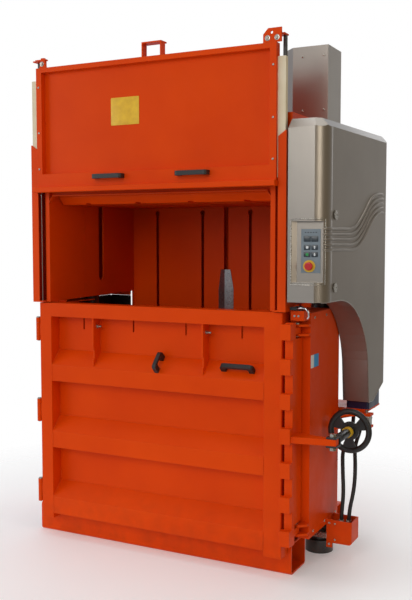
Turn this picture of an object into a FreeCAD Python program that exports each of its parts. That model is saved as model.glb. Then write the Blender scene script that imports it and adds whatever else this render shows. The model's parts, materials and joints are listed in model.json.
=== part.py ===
import FreeCAD, Part
import math
import os
from FreeCAD import Vector as V

# Recycling baler: open-front press chamber with a hinged bale door below,
# a counter-balanced gate above, a platen pulled down by two side cylinders,
# and a clawed lock beam worked by a handwheel.
# Millimetres. X to the right, Y backwards, Z up. Sizes along Y are measured
# from the front face of the bale door; save() moves every piece to the origin.

# ---- main sizes -------------------------------------------------------------
door_width = 1270.0          # bale door, overall
door_height = 1060.0         # bale door, overall
door_bottom = 96.0           # underside of the door stiles above the floor
door_depth = 72.0            # front face to inner skin
chamber_depth = 770.0        # door face to the back wall
gate_height = 584.0          # gate panel with its bottom lip
wall_inset = 60.0            # door edge to the chamber's side wall
gate_inset = 21.0            # door edge to the gate's side edge
gate_travel = 525.0          # how far the gate slides down
platen_stroke = 800.0        # how far the platen goes down
plate = 6.0                  # wall plate
sheet = 4.0                  # folded sheet
gap = 2.0                    # clearance between moving and fixed panels
fit = 0.05                   # radial running clearance of pins

# ---- levels and stations derived from them ----------------------------------
chamber_width = door_width - 2 * wall_inset
gate_width = door_width - 2 * gate_inset
door_half = door_width / 2
door_top = door_bottom + door_height
lip_bottom = door_top + gap + gate_travel
header_bottom = lip_bottom - 11.0
platen_z = header_bottom - 42.0
frame_height = header_bottom + 318.0
half = chamber_width / 2
outer = half + plate
frame_top = frame_height
top_beam = 80.0
beam_z = frame_top - top_beam
sill_depth = 170.0
sill_height = 140.0
sill_front = door_depth + 6.0
sill_left = -(door_half + 65.0)
sill_right = door_half + 17.0
origin_y = sill_front + sill_depth / 2
back_y = chamber_depth
floor_top = sill_height + plate
cylinder_x = half + 75.0
cylinder_y = back_y - 325.0
barrel_radius = 50.0
rod_radius = 28.0
right_box = door_half + 89.0
left_box = door_half + 73.0
box_front = 100.0
left_box_front = 120.0
box_rear = cylinder_y + 37.0
box_bottom = 167.0
box_top = door_top - 6.0
bore_bottom = 190.0
rod_overlap = 250.0
barrel_top = bore_bottom + 10.0 + platen_stroke + rod_overlap
bridge_height = 80.0
bridge_bottom = barrel_top + 60.0 + platen_stroke
bridge_top = bridge_bottom + bridge_height
tower_top = bridge_top + 135.0

pieces = {}


def box(x0, x1, y0, y1, z0, z1):
    return Part.makeBox(x1 - x0, y1 - y0, z1 - z0, V(x0, y0, z0))


def rod(radius, start, axis, length):
    return Part.makeCylinder(radius, length, V(*start), V(*axis))


def upright(radius, x, y, z0, z1):
    return rod(radius, (x, y, z0), (0, 0, 1), z1 - z0)


def plan(points, z0, z1):
    """Upright prism over an outline given as (x, y) points."""
    wire = Part.makePolygon([V(x, y, z0) for x, y in points + points[:1]])
    return Part.Face(wire).extrude(V(0, 0, z1 - z0))


def side(points, x0, x1):
    """Prism along X over an outline given as (y, z) points."""
    wire = Part.makePolygon([V(x0, y, z) for y, z in points + points[:1]])
    return Part.Face(wire).extrude(V(x1 - x0, 0, 0))


def front(points, y0, y1):
    """Prism along Y over an outline given as (x, z) points."""
    wire = Part.makePolygon([V(x, y0, z) for x, z in points + points[:1]])
    return Part.Face(wire).extrude(V(0, y1 - y0, 0))


def join(shapes):
    return shapes[0].multiFuse(shapes[1:]).removeSplitter()


def cut(shape, tools):
    for tool in tools:
        shape = shape.cut(tool)
    return shape


def mirrored(shape):
    return shape.mirror(V(0, 0, 0), V(1, 0, 0))


def both_sides(shape):
    return [shape, mirrored(shape)]


def round_along(shape, axis, radius, test):
    """Round the straight edges that run along one axis and pass a test."""
    edges = []
    for edge in shape.Edges:
        if len(edge.Vertexes) != 2 or edge.Curve.TypeId != "Part::GeomLine":
            continue
        run = edge.Vertexes[1].Point - edge.Vertexes[0].Point
        if abs(abs(run.dot(axis)) - run.Length) < 1e-6 and test(edge.CenterOfMass):
            edges.append(edge)
    return shape.makeFillet(radius, edges) if edges else shape


def hex_bolt(x, y, z, axis, head, height):
    """Hexagon head standing on a face, pointing along the axis."""
    points = []
    for k in range(7):
        a = math.radians(60 * k)
        points.append(V(head / 2 * math.cos(a), head / 2 * math.sin(a), 0))
    body = Part.Face(Part.makePolygon(points)).extrude(V(0, 0, height))
    turn = FreeCAD.Rotation(V(0, 0, 1), V(*axis))
    body.Placement = FreeCAD.Placement(V(x, y, z), turn)
    return body


def keep(name, shapes):
    """Record a node: one solid, or a group of separate solids."""
    solids = shapes if isinstance(shapes, list) else [shapes]
    parts = []
    for shape in solids:
        parts.extend(shape.Solids)
    pieces[name] = Part.makeCompound(parts) if len(parts) > 1 else parts[0]


def save():
    os.makedirs("parts", exist_ok=True)
    shift = V(0, -origin_y, 0)
    for name, shape in pieces.items():
        moved = shape.copy()
        moved.translate(shift)
        moved.exportStep("parts/" + name + ".step")
    print(len(pieces), "nodes saved")


# ---- base -------------------------------------------------------------------
def sill(y0):
    wall = 8.0
    tube = box(sill_left, sill_right, y0, y0 + sill_depth, 0, sill_height)
    tube = round_along(tube, V(1, 0, 0), 14.0, lambda c: True)
    hollow = box(sill_left - 1, sill_right + 1, y0 + wall, y0 + sill_depth - wall,
                 wall, sill_height - wall)
    hollow = round_along(hollow, V(1, 0, 0), 6.0, lambda c: True)
    return tube.cut(hollow)


rear_sill_y = back_y + plate - sill_depth
keep("front_sill", sill(sill_front))
keep("rear_sill", sill(rear_sill_y))

floor_flange = 70.0
floor = [box(-outer, outer, sill_front, back_y, sill_height, floor_top)]
for s in (-1, 1):
    x0, x1 = sorted((s * half, s * outer))
    floor.append(box(x0, x1, sill_front + sill_depth, rear_sill_y, floor_flange, sill_height))
keep("floor_plate", join(floor))

# ---- chamber walls ----------------------------------------------------------
slot_half = 21.0
slot_bottom = barrel_top + 20.0
window_top_front = door_top + 6.0
window_top_rear = door_top + 18.0
window_bottom = door_top - 106.0
gate_back = 6.0
wall_front = gate_back + gap


seam_y = cylinder_y - 147.0


def side_wall():
    """Right wall: lower plate, and two upper sheets with a folded front edge, slot and window."""
    low = box(half, outer, door_depth + gap, back_y, floor_top, window_bottom)
    sheet_z = (window_bottom, beam_z)
    ahead = box(half, outer, door_depth + gap, seam_y, sheet_z[0], sheet_z[1])
    above = box(half, outer, wall_front, door_depth + gap, door_top + 4, beam_z)
    fold = box(half, outer + 16, wall_front, wall_front + sheet, door_top + 4, beam_z)
    hem = box(outer + 12, outer + 16, wall_front, wall_front + 18, door_top + 4, beam_z)
    ahead = join([ahead, above, fold, hem])
    behind = box(half, outer, seam_y, back_y, sheet_z[0], sheet_z[1])
    slot = box(half - 1, outer + 1, cylinder_y - slot_half, cylinder_y + slot_half,
               slot_bottom, frame_top)
    slot = slot.fuse(rod(slot_half, (half - 1, cylinder_y, slot_bottom), (1, 0, 0), plate + 2))
    window = side([(door_depth + 12, window_bottom - 1), (back_y - 12, window_bottom - 1),
                   (back_y - 12, window_top_rear), (door_depth + 12, window_top_front)],
                  half - 1, outer + 1)
    return [low, ahead.cut(window), cut(behind, [slot, window])]


keep("right_wall", side_wall())
keep("left_wall", [mirrored(s) for s in side_wall()])

strap_x = [-420.0, -140.0, 140.0, 420.0]
strap_width = 16.0
strap_top = header_bottom - 78.0
centre_slot = 26.0
back = box(-outer, outer, back_y, back_y + plate, floor_top, beam_z)
holes = []
for x in strap_x:
    holes.append(box(x - strap_width / 2, x + strap_width / 2, back_y - 1, back_y + plate + 1,
                     floor_top + 20, strap_top))
    holes.append(rod(14.0, (x, back_y - 1, strap_top + 8), (0, 1, 0), plate + 2))
holes.append(box(-centre_slot / 2, centre_slot / 2, back_y - 1, back_y + plate + 1,
                 300, beam_z - 40))
keep("back_wall", cut(back, holes))

channels = []
for x in [strap_x[0], strap_x[1], 0.0, strap_x[2], strap_x[3]]:
    channel = box(x - 32, x + 32, back_y + plate, back_y + plate + 50,
                  floor_top, beam_z)
    inside = box(x - 28, x + 28, back_y + plate - 1, back_y + plate + 46,
                 floor_top - 1, beam_z + 1)
    channels.append(channel.cut(inside))
keep("back_channels", channels)

# galvanised ridge plate over the centre slot
ridge_half = 44.0
ridge_low = door_top - 276.0
ridge_top = door_top + 146.0
ridge = plan([(-ridge_half, back_y), (0, back_y - 18), (ridge_half, back_y),
              (ridge_half - 10, back_y), (0, back_y - 14), (-ridge_half + 10, back_y)],
             ridge_low, ridge_top)
ridge_shape = front([(-ridge_half, ridge_low), (ridge_half, ridge_low),
                     (ridge_half, ridge_top - 102), (27, ridge_top), (-27, ridge_top),
                     (-ridge_half, ridge_top - 102)], back_y - 30, back_y + 1)
keep("centre_guide_plate", ridge.common(ridge_shape))

# ---- side boxes round the cylinders -----------------------------------------
def side_box(outside, y0):
    skin = box(outer, outside, y0, box_rear, box_bottom, box_top)
    inside = box(outer - 1, outside - sheet, y0 + sheet, box_rear + 1,
                 box_bottom - 1, box_top - sheet)
    skin = skin.cut(inside)
    corner = side([(box_rear - 90, box_top + 1), (box_rear + 1, box_top + 1),
                   (box_rear + 1, box_top - 120), (box_rear - 12, box_top - 62),
                   (box_rear - 44, box_top - 22)], outer + 70, outside + 1)
    bore = upright(barrel_radius + 2, cylinder_x, cylinder_y, box_top - 40, box_top + 1)
    relief = box(outer - 1, outer + 70, cylinder_y - barrel_radius - 2, box_rear + 1,
                 box_top - sheet - 1, box_top + 1)
    return cut(skin, [corner, bore, relief])


right_box_shape = side_box(right_box, box_front)
left_box_shape = mirrored(side_box(left_box, left_box_front))

# ---- guide rails for the gate ------------------------------------------------
rail_front = -20.0
rail_in = door_half - 16.0
rail_out = door_half + 17.5
rail_web = rail_out + sheet
rail_bottom = door_top + 4
rail_top = beam_z


def guide_rail():
    flange = box(rail_in, rail_web, rail_front, rail_front + sheet, rail_bottom, rail_top)
    web = box(rail_out, rail_web, rail_front, door_depth + gap, rail_bottom, rail_top)
    back = box(outer, rail_web, door_depth - gap, door_depth + gap, rail_bottom, rail_top)
    foot = box(outer + 17, rail_web, rail_front, door_depth + gap, rail_bottom, rail_bottom + 6)
    rail = join([flange, web, back, foot])
    lead = front([(rail_in - 1, rail_top + 1), (rail_in - 1, rail_top - 24),
                  (rail_out, rail_top + 1)], rail_front - 1, rail_front + sheet + 1)
    return rail.cut(lead)


keep("guide_rails", both_sides(guide_rail()))

# ---- top frame and cylinder covers ------------------------------------------
tower_y0 = cylinder_y - 85.0
tower_y1 = cylinder_y + 95.0
tower_in = half - 95.0
tower_out = half + 125.0
top_parts = [box(-outer - 80, outer + 80, 34, 114, beam_z, frame_top),
             box(-outer - 80, outer + 80, back_y - 74, back_y + plate, beam_z, frame_top)]
for s in (-1, 1):
    x0, x1 = sorted((s * half, s * (outer + 80)))
    top_parts.append(box(x0, x1, 114, tower_y0 + 35, beam_z, frame_top))
    top_parts.append(box(x0, x1, tower_y1 - 35, back_y - 74, beam_z, frame_top))
keep("top_frame", join(top_parts))

header_y = 28.0
header = [box(-half, half, header_y, header_y + sheet, header_bottom, beam_z),
          box(-half, half, header_y, header_y + 6 + sheet, beam_z - sheet, beam_z),
          box(-half + 18, half - 18, header_y - 20, header_y + sheet,
              header_bottom - sheet, header_bottom)]
for s in (-1, 1):
    wing = [(s * (half - 18), header_bottom), (s * (half - 18), header_bottom - sheet),
            (s * half, header_bottom - 34), (s * half, header_bottom - 28)]
    header.append(front(wing, header_y - 20, header_y + sheet))
keep("front_header", join(header))


def tower():
    chamfer = 52.0
    outline = [(tower_in + chamfer, tower_y0), (tower_out, tower_y0), (tower_out, tower_y1),
               (tower_in + chamfer, tower_y1), (tower_in, tower_y1 - chamfer),
               (tower_in, tower_y0 + chamfer)]
    inner = [(tower_in + chamfer + 2, tower_y0 + sheet), (tower_out - sheet, tower_y0 + sheet),
             (tower_out - sheet, tower_y1 - sheet), (tower_in + chamfer + 2, tower_y1 - sheet),
             (tower_in + sheet, tower_y1 - chamfer - 2), (tower_in + sheet, tower_y0 + chamfer + 2)]
    skin = plan(outline, frame_top, tower_top)
    return skin.cut(plan(inner, frame_top - 1, tower_top - sheet))


keep("cylinder_covers", both_sides(tower()))

# ---- cylinders ---------------------------------------------------------------
foot_radius = 65.0
foot_height = 60.0
clamp_z = 78.0


def cylinder():
    barrel = upright(barrel_radius, cylinder_x, cylinder_y, 0, barrel_top)
    foot = upright(foot_radius, cylinder_x, cylinder_y, 0, foot_height)
    neck = upright(barrel_radius + 4, cylinder_x, cylinder_y, barrel_top - 46, barrel_top)
    bore = upright(rod_radius + fit, cylinder_x, cylinder_y, bore_bottom, barrel_top + 1)
    return cut(join([barrel, foot, neck]), [bore])


keep("cylinders", both_sides(cylinder()))

clamp = box(outer, cylinder_x + 54, cylinder_y - 60, cylinder_y + 60, clamp_z, clamp_z + 26)
clamp = clamp.cut(upright(barrel_radius, cylinder_x, cylinder_y, clamp_z - 1, clamp_z + 27))
keep("cylinder_clamps", both_sides(clamp))

# ---- platen ------------------------------------------------------------------
platen_gap = 6.0
platen_front = door_depth + 8.0
platen_rear = back_y - 24.0
platen_half = half - platen_gap
bevel = 34.0
skirt = 104.0
under = side([(platen_front, platen_z + bevel), (platen_front + bevel, platen_z),
              (platen_rear, platen_z), (platen_rear, platen_z + skirt),
              (platen_front, platen_z + skirt)], -platen_half, platen_half)
inside = side([(platen_front + 8, platen_z + bevel + 4), (platen_front + bevel + 4, platen_z + 10),
               (platen_rear - 8, platen_z + 10), (platen_rear - 8, platen_z + skirt + 1),
               (platen_front + 8, platen_z + skirt + 1)], -platen_half + 8, platen_half - 8)
pan = under.cut(inside)
grooves = []
for x in strap_x:
    grooves.append(box(x - 14, x + 14, platen_front - 1, platen_rear + 1, platen_z - 1,
                       platen_z + 6))
keep("platen", cut(pan, grooves))

beams = [box(-platen_half + 8, platen_half - 8, cylinder_y - 18, cylinder_y + 18, platen_z + 10, platen_z + skirt)]
for s in (-1, 1):
    x0, x1 = sorted((s * (half - 70), s * (half - 15)))
    beams.append(box(x0, x1, cylinder_y - 18, cylinder_y + 18, platen_z + 10, bridge_top))
    x0, x1 = sorted((s * (half - 70), s * (cylinder_x + 42)))
    beams.append(box(x0, x1, cylinder_y - 18, cylinder_y + 18, bridge_bottom, bridge_top))
ribs = []
for x in (-360.0, -190.0, 190.0, 360.0):
    for y0, y1 in ((platen_front + bevel + 6, cylinder_y - 18),
                   (cylinder_y + 18, platen_rear - 8)):
        ribs.append(box(x - 5, x + 5, y0, y1, platen_z + 10, platen_z + skirt - 4))
keep("platen_yoke", join(beams + ribs))

rods = []
for s in (-1, 1):
    rods.append(upright(rod_radius, s * cylinder_x, cylinder_y,
                        barrel_top - rod_overlap, bridge_bottom))
keep("piston_rods", rods)

# ---- gate --------------------------------------------------------------------
gate_half = gate_width / 2
lip_height = 24.0
gate_bottom = lip_bottom + lip_height
gate_top = lip_bottom + gate_height
gate_front = -30.0
stile = 30.0
recess_bottom = gate_bottom + 63.0
recess_top = gate_top - 22.0
panel = box(-gate_half, gate_half, gate_front, gate_back, gate_bottom, gate_top)
recess = box(-gate_half + stile, gate_half - stile, gate_front - 1, gate_back - 6,
             recess_bottom, recess_top)

lip = box(-gate_half - 7, gate_half + 7, gate_front - 32, gate_front + 8, lip_bottom, gate_bottom)
flap = box(-gate_half, gate_half, gate_front + 8, gate_back, lip_bottom + 16, gate_bottom)
lip = round_along(lip, V(1, 0, 0), 4.0, lambda c: c.y < gate_front - 30)
keep("gate_panel", join([panel.cut(recess), lip, flap]))

slide_top = gate_top - 55.0
slide_bottom = gate_bottom + 13.0
slide = box(gate_half, rail_out - 2.5, rail_front + sheet + 0.5, gate_back,
            slide_bottom, slide_top)
slide = slide.makeChamfer(2.0, [e for e in slide.Edges
                                if abs(e.CenterOfMass.z - slide_top) < 1e-6
                                and e.CenterOfMass.x > gate_half + 1])
keep("gate_slides", both_sides(slide))

hook_x = 20.0
hook = [box(hook_x - 50, hook_x - 44, gate_front, gate_back, gate_top, gate_top + 63),
        box(hook_x + 44, hook_x + 50, gate_front, gate_back, gate_top, gate_top + 63),
        box(hook_x - 50, hook_x + 50, gate_front, gate_back + 14, gate_top + 57, gate_top + 63)]
keep("gate_hook", join(hook))

strut_x = door_half - 3.0
strut_y = 22.0
strut_radius = 9.0
strut_rod_radius = 5.0
bracket = front([(gate_half - 60, gate_top), (gate_half + 22, gate_top),
                 (gate_half + 22, gate_top + 58), (gate_half - 38, gate_top + 58),
                 (gate_half - 60, gate_top + 34)], gate_front, gate_front + 6)
cap_low = gate_top + 33.0
cap_high = cap_low + 6.0
behind_flange = rail_front + sheet + 2.0
neck_in = gate_half - 15.0
neck_out = rail_in - 2.0


def strut_cap():
    """Cap over the strut, reaching back through the groove behind the rail flange."""
    neck = box(neck_in, neck_out, gate_front, strut_y, cap_low, cap_high)
    pad = box(neck_in, strut_x + 11, behind_flange, strut_y + 10, cap_low, cap_high)
    return neck.fuse(pad)


bracket = bracket.cut(rod(6.0, (gate_half - 22, gate_front - 1, gate_top + 40), (0, 1, 0), 8))
lug = front([(-gate_half + 22, gate_top), (-gate_half + 58, gate_top),
             (-gate_half + 50, gate_top + 45), (-gate_half + 30, gate_top + 45)],
            gate_front, gate_front + 10)
left_reach = box(-neck_out, -gate_half + 58, gate_front, gate_front + 18, cap_low, cap_high)
left_lug = box(-gate_half + 30, -gate_half + 50, gate_front + 10, gate_front + 18,
               gate_top, cap_low)
keep("strut_brackets", [join([bracket, strut_cap()]),
                        join([lug, mirrored(strut_cap()), left_reach, left_lug])])

strut_top = cap_low
tube_bottom = gate_bottom + 13.0
tubes = []
strut_rods = []
for s in (-1, 1):
    tube = upright(strut_radius, s * strut_x, strut_y, tube_bottom, strut_top)
    bore = upright(strut_rod_radius + fit, s * strut_x, strut_y, tube_bottom - 1, strut_top - 8)
    tubes.append(tube.cut(bore))
    strut_rods.append(upright(strut_rod_radius, s * strut_x, strut_y,
                              rail_bottom + 6, tube_bottom + 40))
keep("strut_tubes", tubes)
keep("strut_rods", strut_rods)


def bridge_handle(length, stand, width, thick):
    """Bridge handle lying along X, feet on Z=0, rising along +Z."""
    bar = side([(-width / 2, 0), (width / 2, 0), (width / 2, stand), (-width / 2, stand)],
               -length / 2, length / 2)
    bar = round_along(bar, V(0, 1, 0), 16.0, lambda c: c.z > stand - 1)
    hole = box(-length / 2 + 24, length / 2 - 24, -width, width, -1, stand - thick)
    hole = round_along(hole, V(0, 1, 0), 8.0, lambda c: c.z > stand - thick - 1)
    return bar.cut(hole)


def placed(shape, spot, first, second):
    """Turn a shape so its X runs along first and its Z along second."""
    a = V(*first).normalize()
    c = V(*second).normalize()
    b = c.cross(a)
    m = FreeCAD.Matrix(a.x, b.x, c.x, spot[0], a.y, b.y, c.y, spot[1],
                       a.z, b.z, c.z, spot[2], 0, 0, 0, 1)
    return shape.transformed(m)


handle = bridge_handle(158.0, 38.0, 20.0, 13.0)
handle_z = gate_bottom + 42.0
keep("gate_handles", [placed(handle, (-203, gate_front, handle_z), (1, 0, 0), (0, -1, 0)),
                      placed(handle, (229, gate_front, handle_z), (1, 0, 0), (0, -1, 0))])

# ---- bale door ---------------------------------------------------------------
stile_left = 68.0
stile_right = 83.0
top_rail = 65.0
skin_back = door_depth
skin_front = door_depth - 6.0
in_left = -door_half + stile_left
in_right = door_half - stile_right
in_top = door_top - top_rail


def hollow_bar(x0, x1, z0, z1):
    bar = box(x0, x1, 0, door_depth, z0, z1)
    bore = box(x0 + sheet, x1 - sheet, sheet, door_depth + 1, z0 + sheet, z1 - sheet)
    return bar.cut(bore)


door_frame = [hollow_bar(-door_half, in_left, door_bottom, door_top),
              hollow_bar(in_right, door_half, door_bottom, door_top),
              hollow_bar(in_left, in_right, in_top, door_top)]
frame_shape = join(door_frame)
frame_shape = round_along(frame_shape, V(0, 0, 1), 6.0,
                          lambda c: c.y < 1 and abs(c.x) > door_half - 1)
keep("door_frame", frame_shape)

skin = box(in_left, in_right, skin_front, skin_back, door_bottom + 4, in_top)
slits = [box(x - 4, x + 4, skin_front - 1, skin_back + 1, in_top - 62, in_top - 8)
         for x in strap_x]
keep("door_skin", cut(skin, slits))

shelf_rise = 70.0
low_shelf = door_bottom + 109.0
high_shelf = door_top - 301.0
shelf_levels = [(high_shelf, 78.0), ((low_shelf + high_shelf) / 2, 80.0), (low_shelf, 84.0)]
shelves = []
for z_edge, face in shelf_levels:
    outline = [(0, z_edge), (skin_front, z_edge + shelf_rise), (skin_front, z_edge - face),
               (0, z_edge - face)]
    hollow = [(sheet, z_edge - 3), (skin_front + 1, z_edge + shelf_rise - 5),
              (skin_front + 1, z_edge - face + sheet), (sheet, z_edge - face + sheet)]
    shelf = side(outline, in_left, in_right).cut(side(hollow, in_left - 1, in_right + 1))
    shelves.append(shelf)
keep("door_shelves", shelves)

rib_x = [-329.0, 253.0]
rib_front = 6.0
z_edge = high_shelf
rise = shelf_rise / skin_front
door_ribs = []
for x in rib_x:
    rib = side([(rib_front, z_edge + rise * rib_front), (skin_front, z_edge + shelf_rise),
                (skin_front, in_top), (rib_front, in_top)], x - 4, x + 4)
    notch = box(x - 5, x + 5, rib_front - 1, rib_front + 9, z_edge + 40, z_edge + 88)
    door_ribs.append(rib.cut(notch))
keep("door_ribs", door_ribs)

plungers = []
for x in rib_x:
    stem = rod(5.0, (x + 4, 34, in_top - 40), (1, 0, 0), 26)
    head = rod(9.0, (x + 4, 34, in_top - 40), (1, 0, 0), 9)
    plungers.append(join([stem, head]))
keep("strap_plungers", plungers)

slope = (0, skin_front, shelf_rise)
normal = (0, -shelf_rise, skin_front)
mid_y = skin_front / 2
mid_z = z_edge + shelf_rise / 2
small = bridge_handle(92.0, 46.0, 18.0, 12.0)
keep("door_handles", [placed(handle, (417, mid_y, mid_z), (1, 0, 0), normal),
                      placed(small, (22, mid_y, mid_z), slope, normal)])

# hinges on the left edge
hinge_x = -door_half - 15.0
hinge_y = 10.0
pin_radius = 7.0
knuckle_radius = 12.0
hinge_levels = [door_bottom + 130, door_bottom + door_height / 2, door_top - 130]
door_knuckles = []
hinge_brackets = []
hinge_pins = []
for z in hinge_levels:
    knuckle = upright(knuckle_radius, hinge_x, hinge_y, z - 30, z + 30)
    leaf = box(hinge_x, -door_half, hinge_y - 4, hinge_y + 8, z - 30, z + 30)
    bore = upright(pin_radius + fit, hinge_x, hinge_y, z - 31, z + 31)
    door_knuckles.append(join([knuckle, leaf]).cut(bore))
    for z0, z1 in ((z - 55, z - 31), (z + 31, z + 55)):
        ring = upright(knuckle_radius, hinge_x, hinge_y, z0, z1)
        arm = plan([(hinge_x - 12, hinge_y), (hinge_x + 6, hinge_y + 11),
                    (hinge_x + 6, left_box_front), (hinge_x - 12, left_box_front)], z0, z1)
        hole = upright(pin_radius, hinge_x, hinge_y, z0 - 1, z1 + 1)
        hinge_brackets.append(join([ring, arm]).cut(hole))
    pin = upright(pin_radius, hinge_x, hinge_y, z - 58, z + 55)
    cap_head = upright(pin_radius + 3, hinge_x, hinge_y, z + 55, z + 60)
    hinge_pins.append(join([pin, cap_head]))
keep("door_knuckles", door_knuckles)
keep("left_side_box", join([left_box_shape] + hinge_brackets))

# ---- lock beam ---------------------------------------------------------------
lock_x = door_half + 37.0
lock_y = 70.0
lock_pin_radius = 10.0
claw_tip = door_half + 6.0
claw_right = door_half + 53.0
claw_height = 66.0
claw_count = 7
claw_top = door_top - 45.0
claw_last = door_bottom + 138.0
claw_pitch = (claw_top - claw_last) / (claw_count - 1)
bar_x = door_half + 17.0
bar_front = -10.0
bar_rear = 20.0
arm_z = 613.0
arm_thick = 27.0
axis_z = arm_z + arm_thick / 2
upper_bracket = (door_top - 102.0, door_top - 52.0)
lower_bracket = (door_bottom + 93.0, door_bottom + 143.0)
tab = 10.0

beam = [box(bar_x, claw_right, bar_front, bar_rear, door_bottom + 69, door_top - 41),
        box(claw_right - 8, claw_right, bar_rear, lock_y + 24,
            lower_bracket[1] + 10, upper_bracket[0] - 8)]
for low, high in (upper_bracket, lower_bracket):
    z0 = low + tab + 1
    z1 = high - tab - 1
    beam.append(box(lock_x - 17, claw_right, bar_rear, lock_y, z0, z1))
    beam.append(upright(17.0, lock_x, lock_y, z0, z1))
claws = []
for k in range(claw_count):
    top = claw_top - claw_pitch * k
    claws.append(box(claw_tip, claw_right, -40, bar_front - gap, top - claw_height, top))
    claws.append(box(bar_x, claw_right, bar_front - gap, bar_front, top - claw_height, top))
lock_beam = join(beam + claws)
bores = []
for low, high in (upper_bracket, lower_bracket):
    bores.append(upright(lock_pin_radius + fit, lock_x, lock_y, low, high))

yoke_x = right_box + 130.0
yoke_y = 20.0
arm_end = yoke_x + 20.0
arm = plan([(claw_right, -30), (arm_end, yoke_y - 18), (arm_end, yoke_y + 16),
            (yoke_x - 44, yoke_y + 16), (claw_right, 62)], arm_z, arm_z + arm_thick)
arm = arm.cut(upright(8.0 + fit, yoke_x, yoke_y, arm_z - 1, arm_z + arm_thick + 1))
keep("lock_beam", join([cut(lock_beam, bores), arm]))

lock_brackets = []
for low, high in (upper_bracket, lower_bracket):
    for z0 in (low, high - tab):
        tongue = plan([(lock_x - 20, lock_y - 8), (lock_x - 8, lock_y - 20),
                       (lock_x + 20, lock_y - 20), (right_box, box_front - 22),
                       (right_box, box_front), (lock_x - 20, box_front)], z0, z0 + tab)
        lock_brackets.append(tongue.cut(upright(lock_pin_radius, lock_x, lock_y,
                                                z0 - 1, z0 + tab + 1)))
keep("lock_brackets", lock_brackets)
lock_pins = []
for low, high in (upper_bracket, lower_bracket):
    pin = upright(lock_pin_radius, lock_x, lock_y, low - 4, high)
    head = upright(lock_pin_radius + 4, lock_x, lock_y, high, high + 6)
    lock_pins.append(join([pin, head]))
keep("hinge_pins", hinge_pins + lock_pins)

# yoke on the arm end with its sleeve over the spindle
spindle_radius = 10.0
sleeve_radius = 19.0
sleeve_end = 204.0
wheel_y = 250.0
nut_y = cylinder_y + 55.0
web_y = yoke_y + 30.0
yoke = [box(yoke_x - 22, yoke_x + 22, yoke_y - 20, web_y + 14, arm_z + arm_thick + 0.5,
            arm_z + arm_thick + 8.5),
        box(yoke_x - 22, yoke_x + 22, yoke_y - 20, web_y + 14, arm_z - 8.5, arm_z - 0.5),
        box(yoke_x - 22, yoke_x + 22, web_y, web_y + 14, arm_z - 8.5, arm_z + arm_thick + 8.5),
        rod(sleeve_radius, (yoke_x, web_y + 14, axis_z), (0, 1, 0), sleeve_end - web_y - 14)]
yoke = join(yoke)
yoke = cut(yoke, [rod(spindle_radius + fit, (yoke_x, web_y - 1, axis_z), (0, 1, 0), 400),
                  upright(8.0, yoke_x, yoke_y, arm_z - 20, arm_z + arm_thick + 20)])
keep("spindle_yoke", yoke)

bolt = join([upright(8.0, yoke_x, yoke_y, arm_z - 8.5, arm_z + arm_thick + 8.5),
             hex_bolt(yoke_x, yoke_y, arm_z + arm_thick + 8.5, (0, 0, 1), 30, 12),
             hex_bolt(yoke_x, yoke_y, arm_z - 8.5, (0, 0, -1), 30, 14)])
keep("yoke_bolt", bolt)

spindle = rod(spindle_radius, (yoke_x, web_y + 2, axis_z), (0, 1, 0), nut_y + 62 - web_y)
keep("lock_spindle", spindle)
ring = rod(sleeve_radius + 4, (yoke_x, sleeve_end + 0.5, axis_z), (0, 1, 0), 24)
keep("spindle_collar", ring.cut(rod(spindle_radius, (yoke_x, 0, axis_z), (0, 1, 0), 400)))

wheel_radius = 99.0
rim = 13.0
hub_y0 = sleeve_end + 24.5
wheel = Part.makeTorus(wheel_radius - rim, rim, V(yoke_x, wheel_y, axis_z), V(0, 1, 0))
disc = rod(wheel_radius - rim, (yoke_x, wheel_y - 6, axis_z), (0, 1, 0), 12)
openings = []
for k in range(3):
    mid = 90 + 120 * k
    sweep = 76.0
    outline = []
    steps = 12
    for i in range(steps + 1):
        a = math.radians(mid - sweep / 2 + sweep * i / steps)
        outline.append((math.cos(a) * 74, math.sin(a) * 74))
    for i in range(steps + 1):
        a = math.radians(mid + sweep / 2 - sweep * i / steps)
        outline.append((math.cos(a) * 41, math.sin(a) * 41))
    outline = [(yoke_x + u, axis_z + w) for u, w in outline]
    openings.append(front(outline, wheel_y - 30, wheel_y + 30))
disc = cut(disc, openings)
hub = rod(26.0, (yoke_x, hub_y0, axis_z), (0, 1, 0), wheel_y + 22 - hub_y0)
wheel = join([wheel, disc, hub])
wheel = wheel.cut(rod(spindle_radius, (yoke_x, 0, axis_z), (0, 1, 0), 400))
keep("handwheel", wheel)

# nut block that swivels in the rear anchor
anchor_gap = 23.0
nut = box(yoke_x - 20, yoke_x + 20, nut_y - 22, nut_y + 22, axis_z - 22, axis_z + 22)
nut = join([nut, upright(8.0, yoke_x, nut_y, axis_z + 22, axis_z + 46),
            upright(8.0, yoke_x, nut_y, axis_z - 46, axis_z - 22)])
keep("spindle_nut", nut.cut(rod(spindle_radius + 2.5, (yoke_x, nut_y - 30, axis_z),
                                (0, 1, 0), 60)))
anchors = []
for z0 in (axis_z + anchor_gap, axis_z - anchor_gap - 10):
    tongue = plan([(right_box, nut_y - 120), (yoke_x - 10, nut_y - 26),
                   (yoke_x + 26, nut_y - 26), (yoke_x + 26, nut_y + 26),
                   (yoke_x - 26, nut_y + 26), (right_box, nut_y - 30)], z0, z0 + 10)
    anchors.append(tongue.cut(upright(8.0 + fit, yoke_x, nut_y, z0 - 1, z0 + 11)))
strap = box(right_box, right_box + 6, nut_y - 120, nut_y - 30, axis_z - anchor_gap - 10,
            axis_z + anchor_gap + 10)
keep("spindle_anchor", join(anchors + [strap]))

# ---- right-hand hood ----------------------------------------------------------
hood_left = door_half + 37.0
hood_front = -40.0
hood_top = frame_top - 70.0
hood_bottom = door_top + 48.0
hood_rear = back_y + 5.0
hood_inner_x = right_box + 4.0


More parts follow.
